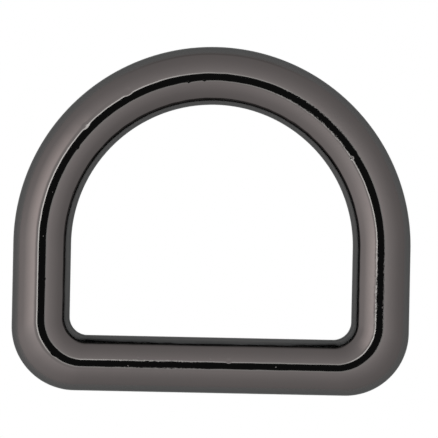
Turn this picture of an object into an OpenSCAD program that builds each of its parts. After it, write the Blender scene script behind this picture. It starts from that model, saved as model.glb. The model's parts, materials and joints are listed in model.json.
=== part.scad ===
// D ring: one closed ring with a half-round arch, two straight legs and a straight bar for a strap.
// It lies flat, with the arch towards +Y and the bar towards -Y.
// The origin is on the surface that it lies on, under the middle of its box.

/* [Opening] */
// Width of the opening, which is the width of the strap
inner_w = 25; // [12:0.5:50]
// From the centre of the arch down to the inner face of the bar
leg_drop = 8.15; // [2:0.05:30]
// Radius of the opening's two corners
inner_corner_r = 1.6; // [0.5:0.05:8]

/* [Band] */
// Width of the band on the arch and the legs, seen from above
arch_band_w = 5.15; // [2:0.05:10]
// Width of the band on the bar, seen from above
bar_band_w = 4.95; // [2:0.05:10]
// Thickness of the band all the way round, from the surface to the top
band_t = 4.2; // [1.5:0.1:10]
// Radius of the ring's two outer corners
outer_corner_r = 5.65; // [1:0.05:12]

/* [Hidden] */

// Points round the band's section. A multiple of four puts one at the very top and one at the very bottom.
SECTION_POINTS = 36;
// Sections in half a turn of the arch, and in a quarter turn of each corner
ARCH_STEPS = 60;
CORNER_STEPS = 15;

inner_arch_r = inner_w / 2;
outer_arch_r = inner_arch_r + arch_band_w;
outer_drop = leg_drop + bar_band_w;
// A corner can't be rounder than the half width or the drop that it turns in
inner_fillet_r = min(inner_corner_r, inner_arch_r, leg_drop);
outer_fillet_r = min(outer_corner_r, outer_arch_r, outer_drop);
// This height of the arch's centre puts the middle of the ring's box on the origin
arch_centre_y = (outer_drop - outer_arch_r) / 2;

function on_circle(r, angle) = r * [cos(angle), sin(angle)];

// A section is known by two points seen from above: one on the inner outline and one on the outer outline.
// Both are counted from the centre of the arch.
function arch_section(angle) = [on_circle(inner_arch_r, angle), on_circle(outer_arch_r, angle)];

// side is 1 for the right corner and -1 for the left one
function corner_section(side, angle) =
    let (
        inner_centre = [side * (inner_arch_r - inner_fillet_r), inner_fillet_r - leg_drop],
        outer_centre = [side * (outer_arch_r - outer_fillet_r), outer_fillet_r - outer_drop]
    )
    [
        inner_centre + on_circle(inner_fillet_r, angle),
        outer_centre + on_circle(outer_fillet_r, angle)
    ];

// The sections run anticlockwise: over the arch, round the left corner and round the right corner.
// The legs and the bar are straight, so they need no sections of their own.
sections = concat(
    [for (i = [0:ARCH_STEPS]) arch_section(180 * i / ARCH_STEPS)],
    [for (i = [0:CORNER_STEPS]) corner_section(-1, 180 + 90 * i / CORNER_STEPS)],
    [for (i = [0:CORNER_STEPS]) corner_section(1, 270 + 90 * i / CORNER_STEPS)]
);

// The oval that stands across the band at one section, from its outer point up, in and round below
function section_oval(section) =
    let (
        middle = (section[0] + section[1]) / 2 + [0, arch_centre_y],
        reach = (section[1] - section[0]) / 2
    )
    [
        for (k = [0:SECTION_POINTS - 1])
            let (
                angle = 360 * k / SECTION_POINTS,
                across = middle + reach * cos(angle)
            )
            [across.x, across.y, band_t / 2 * (1 + sin(angle))]
    ];

// The number of a point, counting on past the last section or point to the first again
function point_number(s, k) = (s % len(sections)) * SECTION_POINTS + k % SECTION_POINTS;

// Two triangles close each patch between two neighbouring points of two neighbouring sections
function patch(s, k) =
    let (
        near = point_number(s, k),
        near_next = point_number(s, k + 1),
        far = point_number(s + 1, k),
        far_next = point_number(s + 1, k + 1)
    )
    [[near, near_next, far_next], [near, far_next, far]];

module d_ring() {
    color("#645f5f")
        polyhedron(
            points = [for (section = sections) each section_oval(section)],
            faces = [for (s = [0:len(sections) - 1], k = [0:SECTION_POINTS - 1]) each patch(s, k)],
            convexity = 4
        );
}

d_ring();
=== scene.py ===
import json
from math import acos, atan, cos, pi, radians, sin

import bmesh
import bpy
from mathutils import Matrix, Vector


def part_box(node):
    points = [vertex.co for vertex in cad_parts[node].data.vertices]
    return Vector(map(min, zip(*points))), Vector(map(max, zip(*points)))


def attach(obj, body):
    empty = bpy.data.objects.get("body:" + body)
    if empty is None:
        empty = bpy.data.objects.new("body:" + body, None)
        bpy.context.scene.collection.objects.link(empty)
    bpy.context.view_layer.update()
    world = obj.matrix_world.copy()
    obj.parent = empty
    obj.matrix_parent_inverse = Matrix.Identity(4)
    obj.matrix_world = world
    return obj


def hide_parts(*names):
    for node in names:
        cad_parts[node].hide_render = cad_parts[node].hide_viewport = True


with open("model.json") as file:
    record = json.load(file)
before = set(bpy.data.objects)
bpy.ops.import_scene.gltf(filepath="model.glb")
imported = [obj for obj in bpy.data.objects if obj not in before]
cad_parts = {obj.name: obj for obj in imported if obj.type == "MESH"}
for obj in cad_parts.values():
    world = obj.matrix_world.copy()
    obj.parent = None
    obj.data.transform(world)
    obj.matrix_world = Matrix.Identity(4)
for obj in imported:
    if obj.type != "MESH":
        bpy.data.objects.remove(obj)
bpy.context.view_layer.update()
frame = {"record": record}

bl_info = {
    "name": "D Ring",
    "version": (1, 0, 0),
    "blender": (4, 5, 0),
    "location": "View3D > Sidebar > D Ring",
    "description": "Models a gunmetal D ring for a strap and a small studio for it",
    "category": "Mesh",
}

MM = 0.001

# The solid ring and its strap bar mount give every size but the two corner radii
RING_LOW, RING_HIGH = (Vector(corner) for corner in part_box("d_ring"))
MOUNTS = {mount["name"]: mount for mount in frame["record"]["mounts"]}
BAR_MIDDLE_Y = MOUNTS["strap_bar"]["pos_m"][1]
INNER_WIDTH = MOUNTS["strap_bar"]["dims"]["length_mm"] * MM
OUTER_ARCH_RADIUS = (RING_HIGH.x - RING_LOW.x) / 2
ARCH_CENTRE_Y = RING_HIGH.y - OUTER_ARCH_RADIUS
BAR_BAND = 2 * (BAR_MIDDLE_Y - RING_LOW.y)

# The flat on the upper inner shoulder: how much the surface leans from level at its middle, and its
# share of the full depth. It reaches as far to each side as FLAT_REACH, counted as lean.
LEG_FLAT = (radians(48.5), 0.52)
CROWN_FLAT = (radians(44.5), 0.78)
BAR_FLAT = (radians(51), 1)
FLAT_REACH = radians(20)

# In the middle of a corner the band is this much more peaked than an oval, and its crest lies this
# much further in. Both are shares of the oval's half height and half width.
CORNER_PEAK = 0.07
CORNER_CREST_IN = 0.033

# Points round the band's section, and sections along each stretch of the ring
SECTION_POINTS = 96
ARCH_STEPS = 180
CORNER_STEPS = 60
LEG_STEPS = 16
BAR_STEPS = 48

# The plating's polish, and the share of its brightness that it keeps where it is seen almost edge on
PLATING_ROUGHNESS = 0.05
PLATING_EDGE = 0.62
# Size of the plating's faint clouds, and how finely they are broken up
CLOUD_SIZE = 4 * MM
CLOUD_DETAIL = 2
# How finely the short dents are broken up, and how much each finer layer of them counts
DENT_DETAIL = 3
DENT_ROUGHNESS = 0.6
# The single pits: distance between them, radius, and the height of their bottom, where the surface is 1
# and the bottom of a full knock is 0
PIT_SPACING = 1.1 * MM
PIT_RADIUS = 0.08 * MM
PIT_BOTTOM = 0.5
# The less polished patches: x, y, radius, and how deep the short dents are in the middle, as a share
# of their full depth
PATCHES = (
    (9.5 * MM, 8.5 * MM, 7 * MM, 1),
    (14.5 * MM, -6 * MM, 7 * MM, 1),
    (-4.5 * MM, -12.8 * MM, 7 * MM, 0.7),
)
# Outside the patches the dents keep this share of their depth
DENTS_ELSEWHERE = 0.045
# The dents lie near the band's crest: they fade out down to this far under it
DENTS_DOWN_TO = 0.6 * MM
# The few knocks and specks near the band's crest: x, y, radius and share of the full depth
KNOCKS = (
    (-11.3 * MM, 8.1 * MM, 0.5 * MM, 1),
    (-12.05 * MM, 6.15 * MM, 0.3 * MM, 0.5),
    (-7.75 * MM, 11.2 * MM, 0.5 * MM, 1),
    (-2.35 * MM, 12.15 * MM, 0.2 * MM, 0.35),
    (-0.95 * MM, 12.35 * MM, 0.2 * MM, 0.35),
    (12.2 * MM, 5.72 * MM, 0.25 * MM, 1),
    (-14.8 * MM, -5.5 * MM, 0.2 * MM, 0.7),
    (-13.7 * MM, -12 * MM, 0.4 * MM, 1),
    (-7.2 * MM, -13.05 * MM, 0.07 * MM, 0.6),
    (1.7 * MM, -12.4 * MM, 0.3 * MM, 1),
    (5.87 * MM, -12.9 * MM, 0.07 * MM, 0.5),
)

# The white card lies this far under the paper, and both reach this far to each side
SHEET_GAP = 0.05 * MM
SHEET_REACH = 2
# Painted shade on the paper: how far it looks for what shades it, the share of open sky from which it is
# white, how bright it still is in the deepest shade, and how many looks each point takes
SHADE_REACH = 12 * MM
WHITE_FROM = 0.3
DEEPEST_SHADE = 0.3
SHADE_SAMPLES = 16
# The hood hangs this far over the camera. Its black is this bright, and its edge has this many sides.
HOOD_GAP = 10 * MM
HOOD_BLACK = 0.034
HOOD_SIDES = 96


def linear(hex_colour):
    """Turns an sRGB hex colour such as "#3a3a3a" into linear red, green and blue."""
    channels = [int(hex_colour[i:i + 2], 16) / 255 for i in (1, 3, 5)]
    return tuple(c / 12.92 if c <= 0.04045 else ((c + 0.055) / 1.055) ** 2.4 for c in channels)


class DRingSizes(bpy.types.PropertyGroup):
    """Sizes of the ring"""

    inner_width: bpy.props.FloatProperty(
        name="Inner Width",
        description="Width of the opening, which is the width of the strap",
        default=INNER_WIDTH,
        min=0.012,
        unit="LENGTH",
        precision=5,
    )
    leg_drop: bpy.props.FloatProperty(
        name="Leg Drop",
        description="From the centre of the arch down to the inner face of the bar",
        default=ARCH_CENTRE_Y - RING_LOW.y - BAR_BAND,
        min=0.002,
        unit="LENGTH",
        precision=5,
    )
    inner_corner_radius: bpy.props.FloatProperty(
        name="Inner Corner",
        description="Radius of the opening's two corners",
        default=1.6 * MM,
        min=0.0005,
        unit="LENGTH",
        precision=5,
    )
    outer_corner_radius: bpy.props.FloatProperty(
        name="Outer Corner",
        description="Radius of the ring's two outer corners",
        default=5.65 * MM,
        min=0.001,
        unit="LENGTH",
        precision=5,
    )
    arch_band: bpy.props.FloatProperty(
        name="Arch Band",
        description="Width of the band on the arch and the legs, seen from above",
        default=OUTER_ARCH_RADIUS - INNER_WIDTH / 2,
        min=0.002,
        unit="LENGTH",
        precision=5,
    )
    bar_band: bpy.props.FloatProperty(
        name="Bar Band",
        description="Width of the band on the bar, seen from above",
        default=BAR_BAND,
        min=0.002,
        unit="LENGTH",
        precision=5,
    )
    thickness: bpy.props.FloatProperty(
        name="Thickness",
        description="Thickness of the band, from the table to its top",
        default=RING_HIGH.z - RING_LOW.z,
        min=0.0015,
        unit="LENGTH",
        precision=5,
    )
    flat_depth: bpy.props.FloatProperty(
        name="Shoulder Flat",
        description="Most that polishing has taken off the band's upper inner shoulder",
        default=0.05 * MM,
        min=0,
        unit="LENGTH",
        precision=6,
    )


class DRingFinish(bpy.types.PropertyGroup):
    """Plating of the ring"""

    plating: bpy.props.FloatVectorProperty(
        name="Plating",
        description="Colour of the gunmetal plating",
        subtype="COLOR",
        size=3,
        min=0,
        max=1,
        default=linear("#5c5c5c"),
    )
    plating_thin: bpy.props.FloatVectorProperty(
        name="Thin Plating",
        description="Colour where the plating is a little thinner",
        subtype="COLOR",
        size=3,
        min=0,
        max=1,
        default=linear("#5f5e5e"),
    )
    ripple_length: bpy.props.FloatProperty(
        name="Ripple Length",
        description="Distance between the ripples that polishing leaves",
        default=0.9 * MM,
        min=0.0001,
        unit="LENGTH",
        precision=5,
    )
    ripple_height: bpy.props.FloatProperty(
        name="Ripple Height",
        description="Height of the ripples that polishing leaves",
        default=0.006 * MM,
        min=0,
        unit="LENGTH",
        precision=6,
    )
    dent_length: bpy.props.FloatProperty(
        name="Dent Length",
        description="Distance between the short dents in the less polished patches",
        default=0.35 * MM,
        min=0.0001,
        unit="LENGTH",
        precision=5,
    )
    dent_depth: bpy.props.FloatProperty(
        name="Dent Depth",
        description="Depth of the short dents",
        default=0.011 * MM,
        min=0,
        unit="LENGTH",
        precision=6,
    )
    pit_depth: bpy.props.FloatProperty(
        name="Pit Depth",
        description="Depth of the knocks. The single pits are half as deep",
        default=0.012 * MM,
        min=0,
        unit="LENGTH",
        precision=6,
    )


class DRingStudio(bpy.types.PropertyGroup):
    """Table, light and camera"""

    table: bpy.props.FloatVectorProperty(
        name="Table",
        description="Colour of the table's white card",
        subtype="COLOR",
        size=3,
        min=0,
        max=1,
        default=linear("#c7d3d5"),
    )
    camera_height: bpy.props.FloatProperty(
        name="Camera Height",
        description="Height of the camera over the table",
        default=0.45,
        min=0.1,
        unit="LENGTH",
    )
    hood_radius: bpy.props.FloatProperty(
        name="Hood Radius",
        description="Radius of the black hood round the lens",
        default=95 * MM,
        min=0.01,
        unit="LENGTH",
    )
    # The rim's glow is painted light: the rim gives off light itself, brightest where a key light would
    # catch it
    hood_rim: bpy.props.FloatProperty(
        name="Hood Rim",
        description="Width of the hood's rim, which the key light catches",
        default=27 * MM,
        min=0.001,
        unit="LENGTH",
    )
    hood_middle: bpy.props.FloatVectorProperty(
        name="Hood Middle",
        description="Middle of the hood, seen from above",
        subtype="TRANSLATION",
        size=2,
        default=(-6 * MM, -20 * MM),
        unit="LENGTH",
    )
    view_width: bpy.props.FloatProperty(
        name="View Width",
        description="Width that the camera takes in at the ring's widest height",
        default=38.9 * MM,
        min=0.01,
        unit="LENGTH",
        precision=5,
    )
    view_middle: bpy.props.FloatVectorProperty(
        name="View Middle",
        description="Point of the ring's plane in the middle of the view",
        subtype="TRANSLATION",
        size=2,
        default=(0.58 * MM, 0.1 * MM),
        unit="LENGTH",
        precision=5,
    )
    view_turn: bpy.props.FloatProperty(
        name="View Turn",
        description="Turn of the camera about the upright, which shows the ring turned the other way",
        default=radians(1.17),
        unit="ROTATION",
    )


def band_sections(sizes):
    """Pairs of an inner and an outer point of the band, seen from above and going round anticlockwise."""
    inner_arch = sizes.inner_width / 2
    outer_arch = inner_arch + sizes.arch_band
    inner_corner = sizes.inner_corner_radius
    outer_corner = sizes.outer_corner_radius
    outer_drop = sizes.leg_drop + sizes.bar_band

    def pair(inner_centre, inner_radius, outer_centre, outer_radius, angle):
        ray = Vector((cos(angle), sin(angle), 0))
        lift = Vector((0, (outer_drop - outer_arch) / 2, 0))
        return (
            Vector(inner_centre) + inner_radius * ray + lift,
            Vector(outer_centre) + outer_radius * ray + lift,
        )

    def arch(angle):
        return pair((0, 0, 0), inner_arch, (0, 0, 0), outer_arch, angle)

    def corner(side, angle):
        inner_centre = (side * (inner_arch - inner_corner), inner_corner - sizes.leg_drop, 0)
        outer_centre = (side * (outer_arch - outer_corner), outer_corner - outer_drop, 0)
        return pair(inner_centre, inner_corner, outer_centre, outer_corner, angle)

    def curved(shape, start, end, steps):
        return [shape(start + (end - start) * i / steps) for i in range(steps + 1)]

    def straight(start, end, steps):
        return [
            (start[0].lerp(end[0], i / steps), start[1].lerp(end[1], i / steps))
            for i in range(1, steps)
        ]

    over_arch = curved(arch, 0, pi, ARCH_STEPS)
    left_corner = curved(lambda angle: corner(-1, angle), pi, 1.5 * pi, CORNER_STEPS)
    right_corner = curved(lambda angle: corner(1, angle), 1.5 * pi, 2 * pi, CORNER_STEPS)
    return [
        *over_arch,
        *straight(over_arch[-1], left_corner[0], LEG_STEPS),
        *left_corner,
        *straight(left_corner[-1], right_corner[0], BAR_STEPS),
        *right_corner,
        *straight(right_corner[-1], over_arch[0], LEG_STEPS),
    ]


def oval_place(section, thickness):
    """The transform that stands a flat unit circle up as the band's oval between a section's two points."""
    inner, outer = section
    reach = (outer - inner) / 2
    rise = Vector((0, 0, thickness / 2))
    middle = (inner + outer) / 2 + rise
    along = reach.cross(rise).normalized() * MM
    place = Matrix((reach, rise, along)).transposed().to_4x4()
    place.translation = middle
    return place


def peak_corners(loops):
    """Makes the band more peaked at the ring's corners, where the real crest runs closer to the opening."""
    left_start = ARCH_STEPS + LEG_STEPS
    right_start = left_start + CORNER_STEPS + BAR_STEPS
    for start in (left_start, right_start):
        for step in range(CORNER_STEPS + 1):
            place, points = loops[start + step]
            back = place.inverted()
            share = sin(pi * step / CORNER_STEPS)
            for vert in points:
                across, up, along = back @ vert.co
                across_moved = across - CORNER_CREST_IN * share * up ** 2
                up_moved = up * (1 - CORNER_PEAK * share * across ** 2)
                vert.co = place @ Vector((across_moved, up_moved, along))


def flatten_shoulder(bm, depth):
    """Takes a little off the band's upper inner shoulder, as polishing has on the real ring."""
    bm.normal_update()
    for vert in bm.verts:
        faces_opening = vert.normal.xy.dot(vert.co.xy) < 0
        if vert.normal.z > 0 and faces_opening:
            towards_crown = vert.normal.xy.normalized().y
            end = Vector(BAR_FLAT if towards_crown > 0 else CROWN_FLAT)
            lean, share = Vector(LEG_FLAT).lerp(end, abs(towards_crown))
            away = (acos(min(vert.normal.z, 1)) - lean) / FLAT_REACH
            if abs(away) < 1:
                vert.co -= vert.normal * depth * share * cos(away * pi / 2) ** 2


def model_ring(sizes):
    """A closed band that follows the ring's outlines: one oval, carried round section by section."""
    places = [oval_place(section, sizes.thickness) for section in band_sections(sizes)]
    bm = bmesh.new()
    bmesh.ops.create_circle(bm, cap_ends=False, segments=SECTION_POINTS, radius=1, matrix=places[0])
    first_loop = bm.edges[:]
    loop = first_loop
    loops = [(places[0], bm.verts[:])]
    for last_place, place in zip(places, places[1:]):
        grown = bmesh.ops.extrude_edge_only(bm, edges=loop)["geom"]
        points = [item for item in grown if isinstance(item, bmesh.types.BMVert)]
        loop = [
            item
            for item in grown
            if isinstance(item, bmesh.types.BMEdge) and set(item.verts) <= set(points)
        ]
        bmesh.ops.transform(bm, matrix=place @ last_place.inverted(), verts=points)
        loops.append((place, points))
    bmesh.ops.bridge_loops(bm, edges=first_loop + loop)
    bmesh.ops.recalc_face_normals(bm, faces=bm.faces)
    peak_corners(loops)
    flatten_shoulder(bm, sizes.flat_depth)
    for face in bm.faces:
        face.smooth = True
    return bm


def finished_object(bm, name):
    """Puts a mesh into the scene as an object at the origin."""
    mesh = bpy.data.meshes.new(name)
    bm.to_mesh(mesh)
    bm.free()
    piece = bpy.data.objects.new(name, mesh)
    bpy.context.scene.collection.objects.link(piece)
    return piece


def add_node(tree, kind, values=None, links=None, **settings):
    """Adds a node with its settings, the values of its input sockets and the links into them."""
    node = tree.nodes.new(kind)
    for name, setting in settings.items():
        setattr(node, name, setting)
    for socket, value in (values or {}).items():
        node.inputs[socket].default_value = value
    for socket, source in (links or {}).items():
        tree.links.new(source, node.inputs[socket])
    return node


def fade_round(tree, position, place, radius, near, far):
    """A number that goes smoothly from near, at a place at the crest's height, to far at this radius."""
    away = add_node(
        tree, "ShaderNodeVectorMath", {1: (*place, RING_HIGH.z)}, {0: position}, operation="DISTANCE"
    )
    faded = add_node(
        tree,
        "ShaderNodeMapRange",
        {"From Min": 0, "From Max": radius, "To Min": near, "To Max": far},
        {"Value": away.outputs["Value"]},
        interpolation_type="SMOOTHSTEP",
    )
    return faded.outputs["Result"]


def gunmetal_plating(finish):
    """Black nickel, plated on polished die-cast zinc: a dark mirror whose reflections waver a little."""
    material = bpy.data.materials.new("Black Nickel Plating")
    material.use_nodes = True
    tree = material.node_tree
    tree.nodes.clear()
    position = add_node(tree, "ShaderNodeTexCoord").outputs["Object"]
    cloud = add_node(
        tree, "ShaderNodeTexNoise", {"Scale": 1 / CLOUD_SIZE, "Detail": CLOUD_DETAIL}, {"Vector": position}
    )
    tint = add_node(
        tree,
        "ShaderNodeMix",
        {"A": (*finish.plating, 1), "B": (*finish.plating_thin, 1)},
        {"Factor": cloud.outputs["Fac"]},
        data_type="RGBA",
    )
    # Long soft ripples, which the polishing wheel leaves all over
    ripples = add_node(
        tree,
        "ShaderNodeTexNoise",
        {"Scale": 1 / finish.ripple_length, "Detail": 0},
        {"Vector": position},
    )
    rippled = add_node(
        tree,
        "ShaderNodeBump",
        {"Strength": 1, "Distance": finish.ripple_height},
        {"Height": ripples.outputs["Fac"]},
    )
    # Short dents, deepest in the patches where the polishing has not reached the bottom of the cast skin
    height = add_node(tree, "ShaderNodeSeparateXYZ", links={"Vector": position}).outputs["Z"]
    near_crest = add_node(
        tree,
        "ShaderNodeMapRange",
        {"From Min": RING_HIGH.z - DENTS_DOWN_TO, "From Max": RING_HIGH.z},
        {"Value": height},
        interpolation_type="SMOOTHSTEP",
    )
    unpolished = add_node(tree, "ShaderNodeMath", {0: DENTS_ELSEWHERE, 1: 0}, operation="MAXIMUM")
    for x, y, radius, share in PATCHES:
        patch = fade_round(tree, position, (x, y), radius, share, 0)
        unpolished = add_node(
            tree, "ShaderNodeMath", links={0: unpolished.outputs["Value"], 1: patch}, operation="MAXIMUM"
        )
    crest_only = add_node(
        tree,
        "ShaderNodeMath",
        links={0: unpolished.outputs["Value"], 1: near_crest.outputs["Result"]},
        operation="MULTIPLY",
    )
    dents = add_node(
        tree,
        "ShaderNodeTexNoise",
        {"Scale": 1 / finish.dent_length, "Detail": DENT_DETAIL, "Roughness": DENT_ROUGHNESS},
        {"Vector": position},
    )
    patchy_dents = add_node(
        tree,
        "ShaderNodeMath",
        links={0: dents.outputs["Fac"], 1: crest_only.outputs["Value"]},
        operation="MULTIPLY",
    )
    dented = add_node(
        tree,
        "ShaderNodeBump",
        {"Strength": 1, "Distance": finish.dent_depth},
        {"Height": patchy_dents.outputs["Value"], "Normal": rippled.outputs["Normal"]},
    )
    # Single pits from gas in the casting. Real ones are finer, and these are as coarse as they need to
    # be to show. The knocks are cut into the same height.
    pit_places = add_node(tree, "ShaderNodeTexVoronoi", {"Scale": 1 / PIT_SPACING}, {"Vector": position})
    pit_walls = add_node(
        tree,
        "ShaderNodeMapRange",
        {"From Min": 0, "From Max": PIT_RADIUS / PIT_SPACING, "To Min": PIT_BOTTOM},
        {"Value": pit_places.outputs["Distance"]},
        interpolation_type="SMOOTHSTEP",
    )
    walls = pit_walls.outputs["Result"]
    for x, y, radius, share in KNOCKS:
        knock = fade_round(tree, position, (x, y), radius, 1 - share, 1)
        joined = add_node(tree, "ShaderNodeMath", links={0: walls, 1: knock}, operation="MULTIPLY")
        walls = joined.outputs["Value"]
    pitted = add_node(
        tree,
        "ShaderNodeBump",
        {"Strength": 1, "Distance": finish.pit_depth},
        {"Height": walls, "Normal": dented.outputs["Normal"]},
    )
    shader = add_node(
        tree,
        "ShaderNodeBsdfPrincipled",
        {"Metallic": 1, "Roughness": PLATING_ROUGHNESS, "Specular Tint": (PLATING_EDGE,) * 3 + (1,)},
        {"Base Color": tint.outputs["Result"], "Normal": pitted.outputs["Normal"]},
    )
    add_node(tree, "ShaderNodeOutputMaterial", links={"Surface": shader.outputs["BSDF"]})
    return material


class MESH_OT_d_ring(bpy.types.Operator):
    """Model the ring and give it its plating"""

    bl_idname = "mesh.d_ring"
    bl_label = "Model the Ring"

    def execute(self, context):
        piece = finished_object(model_ring(context.scene.d_ring_sizes), "ring")
        piece.data.materials.append(gunmetal_plating(context.scene.d_ring_finish))
        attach(piece, "root")
        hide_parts("d_ring")
        return {"FINISHED"}


# The tent over the table: rows of degrees down from straight up, and brightness
TENT_COLOUR = "#fff4f2"
TENT = (
    (12, 1.44),
    (20, 1.23),
    (32, 1.07),
    (50, 0.92),
    (62, 0.86),
    (75, 0.82),
    (90, 0.75),
)
# The tent is brighter on some sides. Each side has its middle in degrees anticlockwise from +X. Its rise has
# rows of degrees down from straight up, and the brightness that it adds there. Its round has rows of
# degrees round from its middle, and the share of that brightness which is left there.
KEY = {
    "colour": "#ffe9e2",
    "middle": 165,
    "rise": ((18, 0), (22, 0.90), (32, 0.85), (40, 0.61), (50, 0.35), (62, 0)),
    "round": ((0, 1), (14, 0.90), (25, 0.42), (32, 0.10), (42, 0)),
}
LEFT_SIDE = {
    "colour": "#fff1ee",
    "middle": 196,
    "rise": ((20, 0), (24.5, 0.94), (36, 0.89), (45, 0.78), (66, 0.60), (80, 0.56), (90, 0.49)),
    "round": ((0, 1), (16, 0.85), (29, 0.58), (52, 0.30), (72, 0.10), (88, 0)),
}
RIGHT_SIDE = {
    "colour": "#fff4f2",
    "middle": 355,
    "rise": ((12, 0.21), (20, 0.21), (31, 0.155), (46, 0.085), (65, 0)),
    "round": ((0, 1), (35, 0.75), (60, 0.25), (85, 0)),
}
# At the back the tent's foot lies in shade, which takes light away
FOOT_SHADE = {
    "colour": "#fff4f2",
    "middle": 90,
    "rise": ((78, 0), (83, 0.17), (88, 0.17), (91, 0)),
    "round": ((0, 1), (15, 1), (32, 0)),
}
# The hood's rim gives off painted light: rows of degrees round from its brightest place, and what it gives
# off there
RIM_COLOUR = "#fffbf7"
RIM_MIDDLE = 155
RIM = (
    (0, 5.3),
    (25, 4.15),
    (40, 4.1),
    (55, 3.4),
    (65, 2.45),
    (85, 2.1),
    (110, 1.62),
    (140, 1.42),
)


def look_up(tree, half_turns, rows):
    """Looks an angle up in rows of degrees and numbers, with straight lines between them."""
    highest = max(value for _, value in rows)
    ramp = add_node(tree, "ShaderNodeValToRGB", links={"Fac": half_turns})
    stops = ramp.color_ramp.elements
    while len(stops) < len(rows):
        stops.new(1)
    for stop, (angle, value) in zip(stops, rows):
        stop.position = angle / 180
        stop.color = (value / highest,) * 3 + (1,)
    scaled = add_node(tree, "ShaderNodeMath", {1: highest}, {0: ramp.outputs["Color"]}, operation="MULTIPLY")
    return scaled.outputs["Value"]


def half_turns_from(tree, direction, towards):
    """Angle between a direction and a fixed one, where 1 is half a turn."""
    product = add_node(
        tree, "ShaderNodeVectorMath", {1: towards}, {0: direction}, operation="DOT_PRODUCT"
    )
    angle = add_node(tree, "ShaderNodeMath", links={0: product.outputs["Value"]}, operation="ARCCOSINE")
    share = add_node(tree, "ShaderNodeMath", {1: pi}, {0: angle.outputs["Value"]}, operation="DIVIDE")
    return share.outputs["Value"]


def level_part(tree, direction):
    """The level part of a direction, with a length of 1."""
    flat = add_node(tree, "ShaderNodeVectorMath", {1: (1, 1, 0)}, {0: direction}, operation="MULTIPLY")
    level = add_node(tree, "ShaderNodeVectorMath", links={0: flat.outputs["Vector"]}, operation="NORMALIZE")
    return level.outputs["Vector"]


def level_direction(degrees):
    """A level direction, counted anticlockwise from +X."""
    return Vector((cos(radians(degrees)), sin(radians(degrees)), 0))


def studio_tent():
    """A white tent lit from outside: soft all round, and brightest to the left."""
    world = bpy.data.worlds.new("Studio Tent")
    world.use_nodes = True
    tree = world.node_tree
    tree.nodes.clear()
    direction = add_node(tree, "ShaderNodeTexCoord").outputs["Generated"]
    level = level_part(tree, direction)
    from_top = half_turns_from(tree, direction, (0, 0, 1))
    light = add_node(
        tree,
        "ShaderNodeVectorMath",
        {0: linear(TENT_COLOUR)},
        {"Scale": look_up(tree, from_top, TENT)},
        operation="SCALE",
    )
    for side, change in ((KEY, "ADD"), (LEFT_SIDE, "ADD"), (RIGHT_SIDE, "ADD"), (FOOT_SHADE, "SUBTRACT")):
        from_middle = half_turns_from(tree, level, level_direction(side["middle"]))
        rise = look_up(tree, from_top, side["rise"])
        share = look_up(tree, from_middle, side["round"])
        brightness = add_node(tree, "ShaderNodeMath", links={0: rise, 1: share}, operation="MULTIPLY")
        added = add_node(
            tree,
            "ShaderNodeVectorMath",
            {0: linear(side["colour"])},
            {"Scale": brightness.outputs["Value"]},
            operation="SCALE",
        )
        light = add_node(
            tree,
            "ShaderNodeVectorMath",
            links={0: light.outputs["Vector"], 1: added.outputs["Vector"]},
            operation=change,
        )
    background = add_node(tree, "ShaderNodeBackground", {"Strength": 1}, {"Color": light.outputs["Vector"]})
    add_node(tree, "ShaderNodeOutputWorld", links={"Surface": background.outputs["Background"]})
    return world


def white_card(colour):
    """White card with a faint gloss, which gives the ring's lower half something pale to mirror."""
    material = bpy.data.materials.new("White Card")
    material.use_nodes = True
    tree = material.node_tree
    tree.nodes.clear()
    shader = add_node(
        tree, "ShaderNodeBsdfPrincipled", {"Base Color": (*colour, 1), "Roughness": 0.25, "IOR": 1.5}
    )
    add_node(tree, "ShaderNodeOutputMaterial", links={"Surface": shader.outputs["BSDF"]})
    return material


def glowing_paper_with_painted_shade():
    """White paper that glows pure white. Only under the ring's overhang does painted shade make it darker.
    """
    material = bpy.data.materials.new("Glowing Paper With Painted Shade")
    material.use_nodes = True
    tree = material.node_tree
    tree.nodes.clear()
    open_sky = add_node(
        tree, "ShaderNodeAmbientOcclusion", {"Distance": SHADE_REACH}, samples=SHADE_SAMPLES
    )
    # Painted shade: the glow is dimmed where ambient occlusion finds the ring close above
    glow_with_painted_shade = add_node(
        tree,
        "ShaderNodeMapRange",
        {"From Min": 0, "From Max": WHITE_FROM, "To Min": DEEPEST_SHADE, "To Max": 1},
        {"Value": open_sky.outputs["AO"]},
    )
    shader = add_node(
        tree, "ShaderNodeEmission", {"Color": (1, 1, 1, 1)}, {"Strength": glow_with_painted_shade.outputs["Result"]}
    )
    add_node(tree, "ShaderNodeOutputMaterial", links={"Surface": shader.outputs["Emission"]})
    return material


def black_flock():
    """Black flock lining of the hood. The ring mirrors it as the black band along its crest."""
    material = bpy.data.materials.new("Black Flock")
    material.use_nodes = True
    tree = material.node_tree
    tree.nodes.clear()
    shader = add_node(tree, "ShaderNodeEmission", {"Color": (1, 1, 1, 1), "Strength": HOOD_BLACK})
    add_node(tree, "ShaderNodeOutputMaterial", links={"Surface": shader.outputs["Emission"]})
    return material


def rim_painted_light(hood_middle):
    """Satin metal rim of the hood, with painted light: it glows by its own emission, brightest where a key
    light would fall on it.
    """
    material = bpy.data.materials.new("Hood Rim Painted Light")
    material.use_nodes = True
    tree = material.node_tree
    tree.nodes.clear()
    position = add_node(tree, "ShaderNodeTexCoord").outputs["Object"]
    centred = add_node(
        tree, "ShaderNodeMapping", {"Location": (-hood_middle[0], -hood_middle[1], 0)}, {"Vector": position}
    )
    level = level_part(tree, centred.outputs["Vector"])
    from_middle = half_turns_from(tree, level, level_direction(RIM_MIDDLE))
    # Painted light: the rim's emission follows the pool that a key light would leave on it
    shader = add_node(
        tree,
        "ShaderNodeEmission",
        {"Color": (*linear(RIM_COLOUR), 1)},
        {"Strength": look_up(tree, from_middle, RIM)},
    )
    add_node(tree, "ShaderNodeOutputMaterial", links={"Surface": shader.outputs["Emission"]})
    return material


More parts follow.
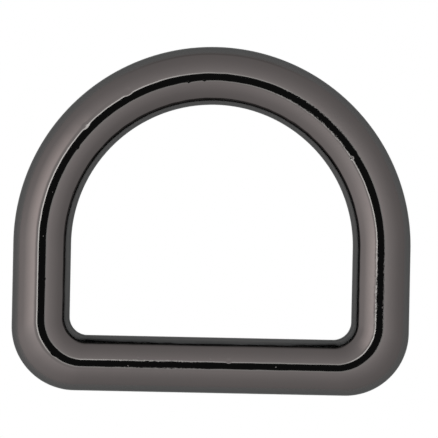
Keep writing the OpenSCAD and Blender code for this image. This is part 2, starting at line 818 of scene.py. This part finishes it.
def flat_sheet(name, depth):
    """A wide level sheet, this deep under the ring."""
    bm = bmesh.new()
    bmesh.ops.create_grid(bm, x_segments=1, y_segments=1, size=SHEET_REACH)
    bmesh.ops.translate(bm, vec=(0, 0, -depth), verts=bm.verts)
    return finished_object(bm, name)


def lens_hood(studio):
    """A round black hood over the lens, with a thin rim whose glow is painted light, brightest where a key
    light would catch it.
    """
    bm = bmesh.new()
    outer_radius = studio.hood_radius + studio.hood_rim
    bmesh.ops.create_circle(bm, cap_ends=True, segments=HOOD_SIDES, radius=outer_radius)
    rim = bmesh.ops.inset_region(
        bm, faces=bm.faces[:], use_boundary=True, use_even_offset=True, thickness=studio.hood_rim
    )["faces"]
    for face in rim:
        face.material_index = 1
    bmesh.ops.translate(bm, vec=(*studio.hood_middle, studio.camera_height + HOOD_GAP), verts=bm.verts)
    piece = finished_object(bm, "lens_hood")
    piece.data.materials.append(black_flock())
    piece.data.materials.append(rim_painted_light(studio.hood_middle))
    # The ring mirrors the hood, and no view shows it straight
    piece.visible_camera = False
    return piece


def studio_camera(studio, height):
    """A camera straight above the ring, turned as the photograph is."""
    data = bpy.data.cameras.new("Camera")
    distance = studio.camera_height - height
    data.angle = 2 * atan(studio.view_width / 2 / distance)
    data.clip_start = 0.01
    data.clip_end = 10
    camera = bpy.data.objects.new("Camera", data)
    camera.location = (*studio.view_middle, studio.camera_height)
    camera.rotation_euler = (0, 0, studio.view_turn)
    return camera


class SCENE_OT_d_ring_stage(bpy.types.Operator):
    """Lay the table, light it and place the camera"""

    bl_idname = "scene.d_ring_stage"
    bl_label = "Set the Stage"

    def execute(self, context):
        scene = context.scene
        studio = scene.d_ring_studio
        # The ring mirrors the table's card. The camera sees only the paper on it, which lights nothing.
        table = flat_sheet("table", SHEET_GAP)
        table.data.materials.append(white_card(studio.table))
        table.visible_camera = False
        paper = flat_sheet("white_paper", 0)
        paper.data.materials.append(glowing_paper_with_painted_shade())
        paper.visible_glossy = False
        paper.visible_diffuse = False
        paper.visible_shadow = False
        lens_hood(studio)
        scene.world = studio_tent()
        camera = studio_camera(studio, scene.d_ring_sizes.thickness / 2)
        scene.collection.objects.link(camera)
        scene.camera = camera
        scene.view_settings.view_transform = "Standard"
        return {"FINISHED"}


class VIEW3D_PT_d_ring(bpy.types.Panel):
    """Sizes, plating and studio of the ring"""

    bl_label = "D Ring"
    bl_space_type = "VIEW_3D"
    bl_region_type = "UI"
    bl_category = "D Ring"

    def draw(self, context):
        layout = self.layout
        for title, group, operator in (
            ("Sizes", context.scene.d_ring_sizes, None),
            ("Plating", context.scene.d_ring_finish, MESH_OT_d_ring.bl_idname),
            ("Studio", context.scene.d_ring_studio, SCENE_OT_d_ring_stage.bl_idname),
        ):
            box = layout.box()
            box.label(text=title)
            for name in group.__annotations__:
                box.prop(group, name)
            if operator:
                box.operator(operator)


CLASSES = (
    DRingSizes,
    DRingFinish,
    DRingStudio,
    MESH_OT_d_ring,
    SCENE_OT_d_ring_stage,
    VIEW3D_PT_d_ring,
)


def register():
    for cls in CLASSES:
        bpy.utils.register_class(cls)
    bpy.types.Scene.d_ring_sizes = bpy.props.PointerProperty(type=DRingSizes)
    bpy.types.Scene.d_ring_finish = bpy.props.PointerProperty(type=DRingFinish)
    bpy.types.Scene.d_ring_studio = bpy.props.PointerProperty(type=DRingStudio)


def unregister():
    del bpy.types.Scene.d_ring_studio
    del bpy.types.Scene.d_ring_finish
    del bpy.types.Scene.d_ring_sizes
    for cls in reversed(CLASSES):
        bpy.utils.unregister_class(cls)


def main():
    """Builds the ring and its stage."""
    register()
    bpy.ops.mesh.d_ring()
    bpy.ops.scene.d_ring_stage()


if __name__ == "__main__":
    main()
